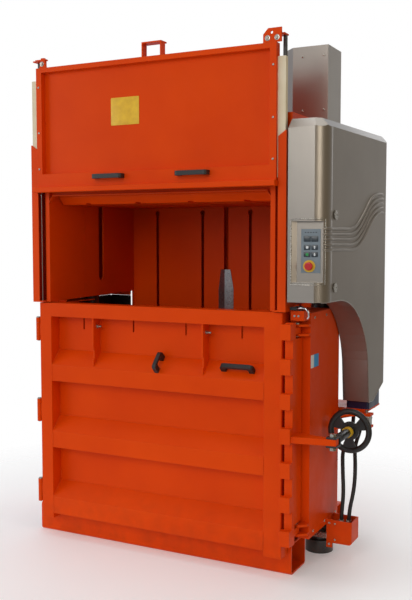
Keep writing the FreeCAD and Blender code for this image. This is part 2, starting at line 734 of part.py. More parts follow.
def hood_plan(inset):
    """Plan outline of the hood, from the front left corner round to the rear."""
    x_front = door_half + 150.0
    x_corner = door_half + 193.0 - inset
    x_rear = door_half + 229.0 - inset
    start = V(hood_left, hood_front + inset, 0)
    a = V(x_front, hood_front + 5 + inset, 0)
    m = V(x_front + 30 - inset * 0.7, hood_front + 36 + inset * 0.7, 0)
    b = V(x_corner, 60, 0)
    c = V(x_rear, hood_rear - 40, 0)
    d_mid = V(x_rear - 11, hood_rear - 11, 0)
    d = V(x_rear - 40, hood_rear, 0)
    e = V(hood_inner_x, hood_rear, 0)
    f = V(hood_inner_x, 40, 0)
    g = V(hood_left, 40, 0)
    if inset:
        start = V(hood_left - 1, hood_front + inset, 0)
        d_mid = V(x_rear - 11, hood_rear - 11 - inset, 0)
        d = V(x_rear - 40, hood_rear - inset, 0)
        e = V(hood_inner_x - 1, hood_rear - inset, 0)
        f = V(hood_inner_x - 1, 41, 0)
        g = V(hood_left - 1, 41, 0)
    edges = [Part.makeLine(start, a), Part.Arc(a, m, b).toShape(), Part.makeLine(b, c),
             Part.Arc(c, d_mid, d).toShape(), Part.makeLine(d, e), Part.makeLine(e, f),
             Part.makeLine(f, g), Part.makeLine(g, start)]
    return Part.Face(Part.Wire(edges))


arch_y = cylinder_y - 295.0


def hood_arch(grow):
    """Side profile of the opening under the hood, widened by grow."""
    z0 = 500.0
    points = [(-80, z0), (-80, hood_bottom + grow), (arch_y, hood_bottom + grow)]
    centre = (arch_y, hood_bottom - 370)
    for k in range(1, 13):
        a = math.radians(90 - 6.6 * k)
        points.append((centre[0] + (372 + grow) * math.cos(a),
                       centre[1] + (370 + grow) * math.sin(a)))
    leg_y = points[-1][0] + 22
    points.append((leg_y, 703 + grow))
    points.append((leg_y + 60, 703 + grow))
    points.append((hood_rear + 10, 790 + grow))
    points.append((hood_rear + 10, z0))
    return side(points, hood_left - 60, door_half + 300)


def prism(face, z0, z1):
    body = face.extrude(V(0, 0, z1 - z0))
    body.translate(V(0, 0, z0))
    return body


hood_cap = 36.0
hood_peak = hood_top + hood_cap


def capped(body, inset):
    """Slope the hood's top in from its front, its round corner and its right side."""
    x_front = door_half + 150.0
    slopes = [(x_front, hood_front + 5, 0.0, -1.0),
              (x_front + 30, hood_front + 36, 0.745, -0.667),
              (door_half + 229.0, hood_rear - 40, 0.9988, -0.0483)]
    for x, y, over, back in slopes:
        away = V(over, back, 0).normalize()
        along = V(-away.y, away.x, 0)
        foot = V(x, y, hood_top) - away * inset * 1.414
        corners = [foot - away * 200 + V(0, 0, 200), foot + away * 200 - V(0, 0, 200),
                   foot + away * 200 + V(0, 0, 200)]
        corners = [corner - along * 1500 for corner in corners]
        outline = Part.makePolygon(corners + corners[:1])
        body = body.cut(Part.Face(outline).extrude(along * 3000))
    return body


hood_solid = capped(prism(hood_plan(0), 600, hood_peak), 0).cut(hood_arch(0))
hood_inside = capped(prism(hood_plan(sheet), 590, hood_peak - sheet), sheet)
hood_inside = hood_inside.cut(hood_arch(sheet))
hood = hood_solid.cut(hood_inside)
leg_front = arch_y + 372 * math.cos(math.radians(10.8)) + 22
leg_inside = prism(hood_plan(sheet), 590, 900)
leg_inside = leg_inside.common(box(0, 2000, leg_front + sheet, hood_rear, 590, 900))
hood = hood.cut(leg_inside)
console_z = (hood_bottom + 77.0, hood_bottom + 338.0)
console_x = (hood_left + 8.0, hood_left + 146.0)
console_window = box(console_x[0], console_x[1], -60, 30, console_z[0], console_z[1])
hood = hood.cut(console_window)
lock_spots = [console_z[1] + 22.0, console_z[0] - 20.0]
hood_lock_y = 95.0
slope_x = 36.0 / (hood_rear - 100.0)
hood_side_x = door_half + 193.0 + (hood_lock_y - 60.0) * slope_x
for z in lock_spots:
    hood = hood.cut(rod(13.0, (hood_side_x - 20, hood_lock_y, z), (1, 0, 0), 40))
keep("side_hood", hood)

# console set into the hood, with a sloping face for the keys
floor_a = (hood_left + 31.0, -14.0)
floor_b = (hood_left + 141.0, 4.0)
pocket = plan([(hood_left + 12, -60), (hood_left + 14, -33), floor_a, floor_b,
               (hood_left + 143, -60)], console_z[0] + 5, console_z[1] - 5)
console = prism(hood_plan(0), console_z[0], console_z[1])
console = console.common(box(console_x[0], console_x[1], -60, 14, console_z[0], console_z[1]))
keep("control_console", console.cut(pocket))

run = V(floor_b[0] - floor_a[0], floor_b[1] - floor_a[1], 0).normalize()
out = V(run.y, -run.x, 0)


def on_console(shape, along, level, lift):
    spot = (floor_a[0] + run.x * along + out.x * lift,
            floor_a[1] + run.y * along + out.y * lift, level)
    return placed(shape, spot, (run.x, run.y, 0), (out.x, out.y, 0))


key_low = console_z[0] + 44.0
key_high = console_z[0] + 224.0
pad = Part.makeBox(80, key_high - key_low, 2, V(-40, -(key_high - key_low) / 2, 0))
estop_along = 52.0
estop_z = console_z[0] + 72.0
pad_mid = (key_low + key_high) / 2
pad_shape = on_console(pad, 58.0, pad_mid, 0)
hole = on_console(Part.makeCylinder(12.0, 12.0, V(0, 0, -6), V(0, 0, 1)),
                  estop_along, estop_z, 0)
keep("keypad", pad_shape.cut(hole))
console_cut = pieces["control_console"].cut(
    on_console(Part.makeCylinder(9.0, 30.0, V(0, 0, -22), V(0, 0, 1)),
               estop_along, estop_z, 0))
keep("control_console", console_cut)
collar = Part.makeCylinder(25.0, 3.0, V(0, 0, 0), V(0, 0, 1))
collar = collar.cut(Part.makeCylinder(9.0, 5.0, V(0, 0, -1), V(0, 0, 1)))
keep("estop_collar", on_console(collar, estop_along, estop_z, 2.0))
button = Part.makeCylinder(17.0, 9.0, V(0, 0, 12), V(0, 0, 1))
button = button.makeFillet(3.5, [button.Edges[0]])
stem = Part.makeCylinder(9.0 - fit, 26.0, V(0, 0, -12), V(0, 0, 1))
keep("estop_button", on_console(join([button, stem]), estop_along, estop_z, 2.0))

# quarter-turn locks holding the hood to its bracket
names = ["upper_hood_lock", "lower_hood_lock"]
catch_x = hood_side_x - 14.0
for name, z in zip(names, lock_spots):
    face = rod(20.0, (hood_side_x + 1.4, hood_lock_y, z), (1, 0, 0), 4)
    slot = box(hood_side_x + 3.5, hood_side_x + 6, hood_lock_y - 14, hood_lock_y + 14,
               z - 2.5, z + 2.5)
    barrel = rod(12.0, (hood_side_x - 10, hood_lock_y, z), (1, 0, 0), 12)
    neck = rod(6.0, (catch_x - 12, hood_lock_y, z), (1, 0, 0), 14)
    cam = box(catch_x - 12, catch_x - 8, hood_lock_y - 6, hood_lock_y + 22, z - 6, z + 6)
    keep(name, join([face.cut(slot), barrel, neck, cam]))

strip = box(catch_x - 6, catch_x + 3, hood_lock_y - 26, hood_lock_y + 26,
            lock_spots[1] - 30, lock_spots[0] + 30)
arms = [strip]
for z in lock_spots:
    arms.append(box(rail_web, catch_x - 6, hood_lock_y - 26, hood_lock_y - 22, z - 20, z + 20))
    arms.append(box(rail_web, rail_web + 4, door_depth - 30, hood_lock_y - 22, z - 20, z + 20))
bracket = join(arms)
for z in lock_spots:
    bracket = bracket.cut(rod(6.3, (catch_x - 20, hood_lock_y, z), (1, 0, 0), 40))
pad_x = door_half + 193.0 - sheet + (hood_lock_y - 26.0 - 60.0) * slope_x - 0.2
touch = [box(catch_x + 3, pad_x, hood_lock_y - 26, hood_lock_y - 18, z - 8, z + 8)
         for z in (lock_spots[0] - 120, lock_spots[1] + 120)]
keep("hood_bracket", join([bracket] + touch))

# ---- power unit ---------------------------------------------------------------
tank_x = (right_box + 12, door_half + 211.0)
tank_y = (cylinder_y + 115, cylinder_y + 300)
tank_z = (664.0, 1010.0)
tank = box(tank_x[0], tank_x[1], tank_y[0], tank_y[1], tank_z[0], tank_z[1])
tank = round_along(tank, V(0, 0, 1), 12.0, lambda c: True)
keep("oil_tank", tank)
motor_x = (tank_x[0] + tank_x[1]) / 2
motor_y = (tank_y[0] + tank_y[1]) / 2
motor = join([upright(50.0, motor_x, motor_y, tank_z[1], tank_z[1] + 18),
              upright(46.0, motor_x, motor_y, tank_z[1] + 18, tank_z[1] + 190),
              upright(40.0, motor_x, motor_y, tank_z[1] + 190, tank_z[1] + 212),
              box(motor_x - 30, motor_x + 30, motor_y - 66, motor_y - 30,
                  tank_z[1] + 60, tank_z[1] + 130)])
keep("pump_motor", motor)
shelf = [box(outer, tank_x[1], tank_y[0], tank_y[1], tank_z[0] - 8, tank_z[0]),
         box(outer, outer + 8, tank_y[0], tank_y[1], tank_z[0] - 90, tank_z[0] - 8)]
for y in (tank_y[0], tank_y[1] - 8):
    gusset = front([(outer, tank_z[0] - 8), (tank_x[1] - 20, tank_z[0] - 8),
                    (tank_x[1] - 20, tank_z[0] - 24), (outer, tank_z[0] - 90)], y, y + 8)
    shelf.append(gusset)
hose_ports = []
for x in (right_box + 40.0, right_box + 80.0):
    hose_ports.append(upright(16.0, x, tank_y[0] + 34, tank_z[0] - 30, tank_z[0] + 1))
keep("tank_shelf", cut(join(shelf), hose_ports))

# ---- lower valve box with its block and hoses ----------------------------------
vb_x = (right_box + 28.0, right_box + 119.0)
vb_y = (cylinder_y - 115.0, cylinder_y - 13.0)
vb_z = (82.0, 188.0)
shell = box(vb_x[0], vb_x[1], vb_y[0], vb_y[1], vb_z[0], vb_z[1])
shell = round_along(shell, V(0, 1, 0), 14.0, lambda c: c.x > vb_x[1] - 1 and c.z < vb_z[0] + 1)
shell = shell.cut(box(vb_x[0] - 1, vb_x[1] - 3, vb_y[0] + 3, vb_y[1] - 3, vb_z[0] + 3,
                      vb_z[1] + 1))
flange = box(right_box, vb_x[0], vb_y[0], vb_y[0] + 3, vb_z[0] - 22, vb_z[1] + 2)
rear_flange = box(right_box, vb_x[0], vb_y[1] - 3, vb_y[1], vb_z[0], vb_z[1])
web = box(right_box, right_box + 3, vb_y[0], vb_y[1], vb_z[1] - 20, vb_z[1] + 2)
keep("valve_box", join([shell, flange, rear_flange, web]))
block = box(vb_x[0] + 4, vb_x[1] - 12, vb_y[0] + 24, vb_y[1] - 22, vb_z[0] + 3, vb_z[0] + 52)
hose_a = (vb_x[0] + 26.0, (vb_y[0] + vb_y[1]) / 2)
hose_b = (vb_x[0] + 58.0, (vb_y[0] + vb_y[1]) / 2 + 8)
hose_radius = 9.0
for spot in (hose_a, hose_b):
    block = block.fuse(upright(13.0, spot[0], spot[1], vb_z[0] + 52, vb_z[0] + 64))
keep("valve_block", block)
block_screws = []
for z in (vb_z[0] - 6, vb_z[1] - 14):
    block_screws.append(rod(5.0, (right_box + 14, vb_y[0] - 4, z), (0, 1, 0), 4))


def hose(points):
    """Round hose along straight runs joined by tangent arcs."""
    spots = [V(*p) for p in points]
    edges = []
    start = spots[0]
    radii = []
    for k in range(1, len(spots) - 1):
        a = spots[k - 1] - spots[k]
        b = spots[k + 1] - spots[k]
        run = 0.45 * min(a.Length, b.Length)
        a.normalize()
        b.normalize()
        turn = math.pi - a.getAngle(b)
        radii.append(run / math.tan(turn / 2))
        first = spots[k] + a * run
        last = spots[k] + b * run
        centre_way = (a + b).normalize()
        to_centre = math.hypot(run, radii[-1])
        middle = spots[k] + centre_way * (to_centre - radii[-1])
        edges.append(Part.makeLine(start, first))
        edges.append(Part.Arc(first, middle, last).toShape())
        start = last
    edges.append(Part.makeLine(start, spots[-1]))
    wire = Part.Wire(edges)
    way = (spots[1] - spots[0]).normalize()
    ring = Part.Wire(Part.makeCircle(hose_radius, spots[0], way))
    print("hose bend radii", [round(r) for r in radii], "length", round(wire.Length))
    return wire.makePipeShell([ring], True, False)


port_z = tank_z[0]
port_y = tank_y[0] + 34.0
hose_start = vb_z[0] + 64.0
hose_a_points = [(hose_a[0], hose_a[1], hose_start), (hose_a[0], hose_a[1], 205),
                 (hose_a[0] + 8, hose_a[1] + 4, 300), (hose_a[0] - 6, hose_a[1] + 30, 400),
                 (hose_a[0] - 26, hose_a[1] + 85, 490), (right_box + 40, port_y - 30, 552),
                 (right_box + 40, port_y, port_z - 60), (right_box + 40, port_y, port_z)]
hose_b_points = [(hose_b[0], hose_b[1], hose_start), (hose_b[0], hose_b[1], 215),
                 (hose_b[0] + 22, hose_b[1] + 6, 320), (hose_b[0] + 18, hose_b[1] + 36, 420),
                 (hose_b[0] - 6, hose_b[1] + 95, 500), (right_box + 80, port_y - 30, 552),
                 (right_box + 80, port_y, port_z - 60), (right_box + 80, port_y, port_z)]
keep("inner_hose", hose(hose_a_points))
keep("outer_hose", hose(hose_b_points))

# ---- door interlock switch ------------------------------------------------------
sw_z = door_top - 34.0
switch_bracket = [box(right_box - 64, right_box - sheet, 30, 34, sw_z, sw_z + 42),
                  box(right_box - 8, right_box - sheet, 34, box_front, sw_z, sw_z + 42)]
keep("right_side_box", join([right_box_shape] + switch_bracket))
head = box(right_box - 52, right_box - 18, 34, 60, sw_z + 6, sw_z + 60)
lever = [rod(4.0, (right_box - 36, 16, sw_z + 52), (0, 1, 0), 18),
         box(right_box - 60, right_box - 30, 12, 16, sw_z + 46, sw_z + 58)]
keep("interlock_switch", join([head] + lever))
screws = [rod(4.5, (right_box - x, 27, sw_z + 20), (0, 1, 0), 3) for x in (46.0, 28.0)]
keep("cover_screws", screws + block_screws)

save()
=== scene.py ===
import json
import math
import bmesh
import bpy
from mathutils import Euler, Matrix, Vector


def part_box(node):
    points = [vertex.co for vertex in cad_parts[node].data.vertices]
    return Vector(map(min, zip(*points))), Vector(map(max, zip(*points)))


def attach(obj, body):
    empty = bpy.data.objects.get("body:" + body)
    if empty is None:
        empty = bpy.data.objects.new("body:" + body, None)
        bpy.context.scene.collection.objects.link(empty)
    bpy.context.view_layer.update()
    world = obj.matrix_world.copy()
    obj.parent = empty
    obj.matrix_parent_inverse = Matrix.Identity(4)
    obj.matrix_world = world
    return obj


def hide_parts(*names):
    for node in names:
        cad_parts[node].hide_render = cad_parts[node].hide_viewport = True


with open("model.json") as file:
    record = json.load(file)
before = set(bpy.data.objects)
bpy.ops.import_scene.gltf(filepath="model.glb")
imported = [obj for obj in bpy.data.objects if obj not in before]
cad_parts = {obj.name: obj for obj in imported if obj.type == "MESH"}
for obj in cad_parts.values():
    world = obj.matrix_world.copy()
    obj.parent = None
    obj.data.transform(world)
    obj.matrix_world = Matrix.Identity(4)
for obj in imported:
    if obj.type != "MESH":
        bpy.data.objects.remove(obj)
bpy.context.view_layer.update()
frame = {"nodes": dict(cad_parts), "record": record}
nodes = frame["nodes"]
face_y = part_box("door_frame")[0].y


def at(x, y, z):
    """Point in metres from millimetres measured from the door's front face."""
    return Vector((x / 1000, y / 1000 + face_y, z / 1000))


up = Vector((0, 0, 1))
across_x = Vector((1, 0, 0))
along_y = Vector((0, 1, 0))

# ---- camera -----------------------------------------------------------------
camera_data = bpy.data.cameras.new("camera")
camera_data.lens = 51.43
camera_data.sensor_width = 36.0
camera = bpy.data.objects.new("camera", camera_data)
camera.location = (1.9838, -3.4924, 1.4686)
camera.rotation_euler = Euler((math.radians(85.86), 0, math.radians(27.168)))
bpy.context.scene.collection.objects.link(camera)
bpy.context.scene.camera = camera

# ---- materials ----------------------------------------------------------------


class Nodes:
    """Short names for building a node tree."""

    def __init__(self, name):
        self.material = bpy.data.materials.new(name)
        self.material.use_nodes = True
        self.tree = self.material.node_tree
        self.shader = self.tree.nodes["Principled BSDF"]
        where = self.tree.nodes.new("ShaderNodeTexCoord")
        self.place = where.outputs["Object"]

    def add(self, kind, inputs=None, **settings):
        node = self.tree.nodes.new(kind)
        for key, value in settings.items():
            setattr(node, key, value)
        for key, value in (inputs or {}).items():
            if isinstance(value, bpy.types.NodeSocket):
                self.tree.links.new(value, node.inputs[key])
            else:
                node.inputs[key].default_value = value
        return node

    def noise(self, scale, detail=3.0, stretch=None):
        place = self.place
        if stretch:
            place = self.add("ShaderNodeMapping", {0: place, 3: stretch}).outputs[0]
        node = self.add("ShaderNodeTexNoise", {"Vector": place, "Scale": scale,
                                               "Detail": detail})
        return node.outputs["Fac"]

    def ramp(self, value, low, high, out_low, out_high):
        node = self.add("ShaderNodeMapRange", {0: value, 1: low, 2: high, 3: out_low,
                                               4: out_high})
        return node.outputs[0]

    def mix(self, amount, a, b):
        node = self.add("ShaderNodeMix", {0: amount, 6: a, 7: b}, data_type="RGBA")
        return node.outputs[2]

    def put(self, socket, value):
        if isinstance(value, bpy.types.NodeSocket):
            self.tree.links.new(value, self.shader.inputs[socket])
        else:
            self.shader.inputs[socket].default_value = value


def rgb(r, g, b):
    """Linear colour from 0-255 screen values."""
    out = []
    for c in (r, g, b):
        c = c / 255
        out.append(c / 12.92 if c <= 0.04045 else ((c + 0.055) / 1.055) ** 2.4)
    return (*out, 1.0)


def finish_of(name, colour, second, roughness, spread=0.08, metallic=0.0, coat=0.0,
              blotch=3.0, grain=500.0, bump=0.04, edge=0.0, edge_glint=None, stretch=None,
              dust=None, level=0.5):
    """Painted, plated or moulded surface: colour drift, uneven gloss, grain, rounded edges and a
    painted highlight along edges.
    """
    n = Nodes(name)
    drift = n.noise(blotch, 4.0)
    paint = n.mix(n.ramp(drift, 0.3, 0.7, 0.0, 1.0), colour, second)
    fine = n.noise(grain, 2.0, stretch)
    smudge = n.noise(blotch * 6, 5.0)
    if dust:
        low = n.add("ShaderNodeSeparateXYZ", {0: n.place}).outputs[2]
        fall = n.ramp(low, 0.0, 0.35, 1.0, 0.0)
        patchy = n.add("ShaderNodeMath", {0: fall, 1: n.ramp(smudge, 0.35, 0.75, 0.0, 0.55)},
                       operation="MULTIPLY").outputs[0]
        paint = n.mix(patchy, paint, dust)
    normal = None
    if edge:
        round_edge = n.add("ShaderNodeBevel", {0: edge}, samples=3).outputs[0]
        normal = round_edge
        # Painted highlight: a lighter colour mixed in along rounded edges, broken up by noise,
        # stands in for light glinting off the edges; it is not worn paint.
        if edge_glint:
            true = n.add("ShaderNodeNewGeometry").outputs["True Normal"]
            same = n.add("ShaderNodeVectorMath", {0: round_edge, 1: true},
                         operation="DOT_PRODUCT").outputs["Value"]
            glint_mask = n.ramp(same, 0.985, 0.90, 0.0, 1.0)
            glint_breakup = n.ramp(n.noise(45.0, 4.0), 0.42, 0.6, 0.15, 0.75)
            glint_mask = n.add("ShaderNodeMath", {0: glint_mask, 1: glint_breakup}, operation="MULTIPLY")
            paint = n.mix(glint_mask.outputs[0], paint, edge_glint)
    n.put("Base Color", paint)
    n.put("Roughness", n.ramp(smudge, 0.25, 0.75, roughness - spread, roughness + spread))
    n.put("Metallic", metallic)
    n.put("Coat Weight", coat)
    n.put("Coat Roughness", 0.12)
    n.put("Specular IOR Level", level)
    inputs = {"Strength": bump, "Distance": 0.001, "Height": fine}
    if normal:
        inputs["Normal"] = normal
    n.put("Normal", n.add("ShaderNodeBump", inputs).outputs[0])
    return n.material


# The third, lighter colour given to the orange, silver and navy paint is a painted highlight along
# rounded edges.
mat = {
    "orange_paint": finish_of("orange_paint", rgb(226, 72, 2), rgb(216, 64, 1), 0.36, 0.07,
                              grain=420.0, bump=0.10, edge=0.002, level=0.09,
                              edge_glint=rgb(236, 96, 40), dust=rgb(176, 58, 14)),
    "silver_paint": finish_of("silver_paint", rgb(158, 150, 140), rgb(150, 143, 134), 0.34,
                              0.015, metallic=0.8, coat=0.2, grain=2600.0, bump=0.05,
                              edge=0.002, edge_glint=rgb(200, 195, 188)),
    "black_paint": finish_of("black_paint", rgb(24, 23, 22), rgb(34, 32, 30), 0.32, 0.08,
                             coat=0.3, bump=0.06, edge=0.0012, dust=rgb(90, 74, 60)),
    "navy_paint": finish_of("navy_paint", rgb(10, 24, 66), rgb(7, 18, 52), 0.35, 0.08,
                            coat=0.3, bump=0.08, edge=0.002, edge_glint=rgb(60, 80, 130)),
    "galvanised_steel": finish_of("galvanised_steel", rgb(150, 155, 160), rgb(176, 180, 184),
                                  0.30, 0.10, metallic=0.9, blotch=60.0, grain=900.0,
                                  bump=0.05, edge=0.001, stretch=(1.0, 1.0, 0.05)),
    "chromed_steel": finish_of("chromed_steel", rgb(215, 216, 218), rgb(205, 207, 210), 0.12,
                               0.05, metallic=1.0, grain=1500.0, bump=0.02,
                               stretch=(1.0, 1.0, 0.02)),
    "bright_steel": finish_of("bright_steel", rgb(190, 186, 176), rgb(166, 160, 148), 0.28,
                              0.09, metallic=0.95, blotch=40.0, grain=1300.0, bump=0.05,
                              edge=0.0006),
    "black_plastic": finish_of("black_plastic", rgb(26, 25, 24), rgb(36, 34, 32), 0.42, 0.08,
                               blotch=12.0, grain=1400.0, bump=0.14, edge=0.0015),
    "yellow_plastic": finish_of("yellow_plastic", rgb(232, 186, 30), rgb(214, 164, 22), 0.35,
                                0.06, blotch=30.0, grain=900.0, bump=0.05, edge=0.0008),
    "red_plastic": finish_of("red_plastic", rgb(196, 14, 16), rgb(176, 8, 12), 0.22, 0.05,
                             coat=0.4, blotch=40.0, grain=900.0, bump=0.03),
    "cream_polyethylene": finish_of("cream_polyethylene", rgb(226, 214, 184),
                                    rgb(214, 198, 160), 0.48, 0.08, blotch=8.0, grain=260.0,
                                    bump=0.10, edge=0.0015, stretch=(1.0, 1.0, 0.08)),
    "keypad_film": finish_of("keypad_film", rgb(122, 134, 142), rgb(114, 127, 136), 0.45, 0.05,
                             blotch=20.0, grain=1800.0, bump=0.10),
    "hose_rubber": finish_of("hose_rubber", rgb(24, 24, 25), rgb(36, 35, 34), 0.55, 0.10,
                             blotch=14.0, grain=700.0, bump=0.18),
    "dark_film": finish_of("dark_film", rgb(38, 48, 54), rgb(46, 56, 62), 0.25, 0.05,
                           blotch=30.0, grain=1500.0, bump=0.03),
    "white_print": finish_of("white_print", rgb(226, 230, 230), rgb(214, 220, 222), 0.45,
                             0.05, blotch=60.0, grain=1500.0, bump=0.03),
    "green_print": finish_of("green_print", rgb(28, 150, 70), rgb(22, 134, 60), 0.40, 0.05,
                             blotch=60.0, grain=1500.0, bump=0.03),
    "blue_print": finish_of("blue_print", rgb(40, 150, 214), rgb(34, 138, 204), 0.35, 0.05,
                            blotch=60.0, grain=1500.0, bump=0.03),
}

node_slots = {row["node"]: row["material_slot"] for row in frame["record"]["subparts"]}
for name, node in nodes.items():
    node.data.materials.clear()
    node.data.materials.append(mat[node_slots[name]])

# ---- mesh helpers -----------------------------------------------------------


def basis(way):
    """Two directions square to a third."""
    way = Vector(way).normalized()
    other = Vector((0, 0, 1)) if abs(way.z) < 0.9 else Vector((1, 0, 0))
    u = way.cross(other).normalized()
    return u, way.cross(u).normalized(), way


def ring_of(bm, centre, u, v, radius, count, turn=0.0, flat=1.0):
    """Ring of new points, squashed along v by flat."""
    out = []
    for k in range(count):
        a = 2 * math.pi * k / count + turn
        out.append(bm.verts.new(centre + u * radius * math.cos(a)
                                + v * radius * flat * math.sin(a)))
    return out


def bridge(bm, a, b, slot=0):
    """Join two equal rings with a band of faces."""
    n = len(a)
    for k in range(n):
        face = bm.faces.new((a[k], a[(k + 1) % n], b[(k + 1) % n], b[k]))
        face.material_index = slot


def cap(bm, ring, slot=0):
    """Close a ring with one face."""
    face = bm.faces.new(ring)
    face.material_index = slot


def turned(bm, centre, way, profile, count=24, slot=0, turn=0.0):
    """Turned shape: profile is (radius, height) pairs along the axis, in millimetres."""
    u, v, way = basis(way)
    rings = []
    for radius, height in profile:
        rings.append(ring_of(bm, centre + way * height / 1000, u, v, radius / 1000, count,
                             turn))
    for a, b in zip(rings, rings[1:]):
        bridge(bm, a, b, slot)
    cap(bm, rings[0][::-1], slot)
    cap(bm, rings[-1], slot)


def swept(bm, points, radii, count=10, slot=0, flat=1.0, up=None):
    """Tube through points with a radius at each, in metres."""
    last = None
    side = None
    for k, p in enumerate(points):
        way = (points[min(k + 1, len(points) - 1)] - points[max(k - 1, 0)]).normalized()
        if up is not None:
            side = up.cross(way).normalized()
        elif side is None:
            side = basis(way)[0]
        else:
            side = (side - way * side.dot(way)).normalized()
        over = way.cross(side).normalized()
        ring = ring_of(bm, p, side, over, radii[k], count, 0.0, flat)
        if last:
            bridge(bm, last, ring, slot)
        else:
            cap(bm, ring[::-1], slot)
        last = ring
    cap(bm, last, slot)


def slab(bm, centre, u, v, width, height, depth, corner, bevel, slot=0, steps=5):
    """Rounded plate standing on a face, with a soft top edge. Millimetres."""
    u = Vector(u).normalized()
    v = Vector(v).normalized()
    out = u.cross(v).normalized()

    def outline(shrink, lift):
        ring = []
        r = max(corner - shrink, 0.05)
        w = width / 2 - shrink
        h = height / 2 - shrink
        for k, (sx, sy) in enumerate(((1, 1), (-1, 1), (-1, -1), (1, -1))):
            for i in range(steps + 1):
                a = math.pi / 2 * (k + i / steps)
                x = sx * (w - r) + r * math.cos(a)
                y = sy * (h - r) + r * math.sin(a)
                ring.append(bm.verts.new(centre + u * x / 1000 + v * y / 1000
                                         + out * lift / 1000))
        return ring

    rings = [outline(0, 0), outline(0, depth - bevel)]
    for i in (1, 2, 3):
        a = math.pi / 2 * i / 3
        rings.append(outline(bevel * (1 - math.cos(a)), depth - bevel + bevel * math.sin(a)))
    for a, b in zip(rings, rings[1:]):
        bridge(bm, a, b, slot)
    cap(bm, rings[0][::-1], slot)
    cap(bm, rings[-1], slot)


def hex_head(bm, centre, way, size=17.0, height=7.0, washer=True, slot=0, turn=0.3):
    """Hexagon bolt head with washer and chamfered top."""
    r = size / 2 / math.cos(math.radians(30))
    base = 0.0
    if washer:
        turned(bm, centre, way, [(size * 0.80, 0), (size * 0.88, 0.3), (size * 0.88, 1.6),
                                 (size * 0.80, 2.0), (size * 0.4, 2.0)], 28, slot)
        base = 2.0
    turned(bm, centre, way, [(r, base), (r, base + height * 0.86), (r * 0.90, base + height),
                             (r * 0.3, base + height)], 6, slot, turn)


def button_head(bm, centre, way, radius=6.0, height=3.5, slot=0):
    """Round head with a hexagon socket."""
    turned(bm, centre, way, [(radius, 0), (radius, height * 0.25), (radius * 0.93, height * 0.6),
                             (radius * 0.75, height * 0.88), (radius * 0.48, height)], 24, slot)
    turned(bm, centre, way, [(radius * 0.46, height * 0.98), (radius * 0.42, height * 1.02),
                             (radius * 0.40, height * 0.35), (radius * 0.05, height * 0.35)],
           6, slot)


def weld(bm, a, b, radius=2.6, slot=0, step=3.2):
    """Rippled weld bead between two points."""
    a = Vector(a)
    b = Vector(b)
    count = max(6, int((b - a).length * 1000 / step) * 2)
    points = []
    radii = []
    for k in range(count + 1):
        t = k / count
        points.append(a.lerp(b, t))
        wave = 1.0 if k % 2 else 0.80
        wander = 0.92 + 0.08 * math.sin(k * 0.9) * math.cos(k * 0.37)
        end = 0.35 if k in (0, count) else 1.0
        radii.append(radius / 1000 * wave * wander * end)
    swept(bm, points, radii, 8, slot)


def piece(name, bm, materials, body, sharp=38.0):
    """Turn a bmesh into an object riding a body."""
    bmesh.ops.recalc_face_normals(bm, faces=bm.faces[:])
    limit = math.radians(sharp)
    for edge in bm.edges:
        edge.smooth = len(edge.link_faces) == 2 and edge.calc_face_angle(0) < limit
    for face in bm.faces:
        face.smooth = True
    mesh = bpy.data.meshes.new(name)
    bm.to_mesh(mesh)
    bm.free()
    for key in materials:
        mesh.materials.append(mat[key])
    made = bpy.data.objects.new(name, mesh)
    bpy.context.scene.collection.objects.link(made)
    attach(made, body)
    return made


# ---- hoses ------------------------------------------------------------------
hose_radius = 0.009
inner_route = [(778, 381, 146), (778, 381, 205), (786, 385, 300), (772, 411, 400),
               (752, 466, 490), (764, 564, 552), (764, 594, 604), (764, 594, 664)]
outer_route = [(810, 389, 146), (810, 389, 215), (832, 395, 320), (828, 425, 420),
               (804, 484, 500), (804, 564, 552), (804, 594, 604), (804, 594, 664)]


def hose(name, route, node):
    """Hose on a smooth route, with its two end fittings, in place of its CAD node."""
    curve = bpy.data.curves.new(name, "CURVE")
    curve.dimensions = "3D"
    spline = curve.splines.new("NURBS")
    spline.points.add(len(route) - 1)
    for point, spot in zip(spline.points, route):
        point.co = (*at(*spot), 1.0)
    spline.order_u = 3
    spline.use_endpoint_u = True
    spline.resolution_u = 16
    line = bpy.data.objects.new(name, curve)
    bpy.context.scene.collection.objects.link(line)
    path = [v.co.copy() for v in bpy.data.meshes.new_from_object(line).vertices]
    curve.bevel_depth = hose_radius
    curve.bevel_resolution = 6
    curve.use_fill_caps = True
    curve.materials.append(mat["hose_rubber"])
    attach(line, "frame")
    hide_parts(node)

    bm = bmesh.new()
    low, high = path[0], path[-1]
    turned(bm, low, up, [(12.4, 0), (12.4, 8), (13.0, 9), (13.0, 12), (11.2, 13),
                                (11.2, 16), (11.9, 17), (11.9, 20), (11.2, 21), (11.2, 24),
                                (11.9, 25), (11.9, 28), (11.2, 29), (11.2, 32), (10.6, 34),
                                (9.1, 34)], 28)
    turned(bm, low, up, [(15.0, 0), (15.6, 0.6), (15.6, 7), (15.0, 7.6), (12, 7.6)], 6)
    turned(bm, high, -up, [(12.4, 1), (12.4, 9), (11.2, 10), (11.2, 13), (11.9, 14),
                                  (11.9, 17), (11.2, 18), (11.2, 21), (11.9, 22), (11.9, 25),
                                  (11.2, 26), (10.6, 30), (9.1, 30)], 28)
    turned(bm, high, -up, [(15.0, 1), (15.6, 1.6), (15.6, 7), (15.0, 7.6), (12, 7.6)], 6)
    ends = piece(name + "_fittings", bm, ["bright_steel"], "frame")
    return line


hose("inner_hose_line", inner_route, "inner_hose")
hose("outer_hose_line", outer_route, "outer_hose")

# ---- hood -------------------------------------------------------------------
hood_low, hood_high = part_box("side_hood")


